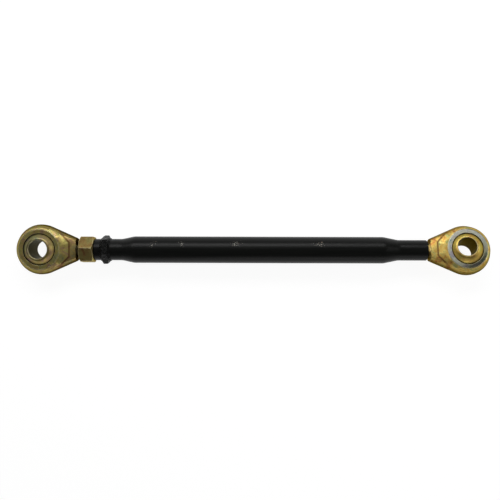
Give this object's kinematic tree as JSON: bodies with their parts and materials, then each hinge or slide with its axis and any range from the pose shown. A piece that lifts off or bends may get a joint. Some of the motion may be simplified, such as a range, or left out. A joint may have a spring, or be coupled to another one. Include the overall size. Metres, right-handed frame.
{
  "type": "stabilizer link",
  "caption": "Turnbuckle stabilizer link: black swaged tube with a welded hexagon collar, and a plated forged eye with a swivel ball on a threaded stem at either end.",
  "frame": {"origin": "midway between the two ball centres, on the axis of the tube", "axes": "+X along the link towards the right eye, which has no lock nut; +Z along the left ball's bore; +Y across the link"},
  "size_m": [0.5814, 0.0614, 0.0414],
  "materials": {
    "eye_plating": "forged steel with yellow passivated zinc plate, satin",
    "race_plating": "turned steel with thin yellow passivated zinc plate",
    "ball_plating": "ground steel with yellow passivated zinc plate, semi-gloss",
    "nut_plating": "yellow passivated zinc plate, satin",
    "black_paint": "satin black paint over drawn steel tube",
    "collar_paint": "satin black paint over rough welded steel"
  },
  "bodies": {
    "left_eye": {"left_eye": "eye_plating", "left_race_front": "race_plating", "left_race_back": "race_plating"},
    "left_ball": {"left_ball": "ball_plating"},
    "lock_nut": {"lock_nut": "nut_plating"},
    "tube": {"tube": "black_paint", "wrench_collar": "collar_paint"},
    "right_eye": {"right_eye": "eye_plating", "right_race_front": "race_plating", "right_race_back": "race_plating"},
    "right_ball": {"right_ball": "ball_plating"}
  },
  "joints": [
    {"name": "nut_travel", "type": "slide", "parent": "left_eye", "child": "lock_nut", "axis": [1, 0, 0], "range_m": [0, 0.04]},
    {"name": "tube_turn", "type": "hinge", "parent": "lock_nut", "child": "tube", "pos_m": [0, 0, 0], "axis": [1, 0, 0], "range_deg": [0, 5760]},
    {"name": "right_eye_travel", "type": "slide", "parent": "left_eye", "child": "right_eye", "axis": [1, 0, 0], "range_m": [0, 0.08]},
    {"name": "left_ball_swivel", "type": "hinge", "parent": "left_eye", "child": "left_ball", "pos_m": [-0.26, 0, 0], "axis": [1, 0, 0], "range_deg": [-20, 20]},
    {"name": "right_ball_swivel", "type": "hinge", "parent": "right_eye", "child": "right_ball", "pos_m": [0.26, 0, 0], "axis": [1, 0, 0], "range_deg": [-16, 24]}
  ],
  "couplings": [
    {"joint": "nut_travel", "follows": "tube_turn", "m_per_rad": 0.00039789},
    {"joint": "right_eye_travel", "follows": "tube_turn", "m_per_rad": 0.00079577}
  ]
}
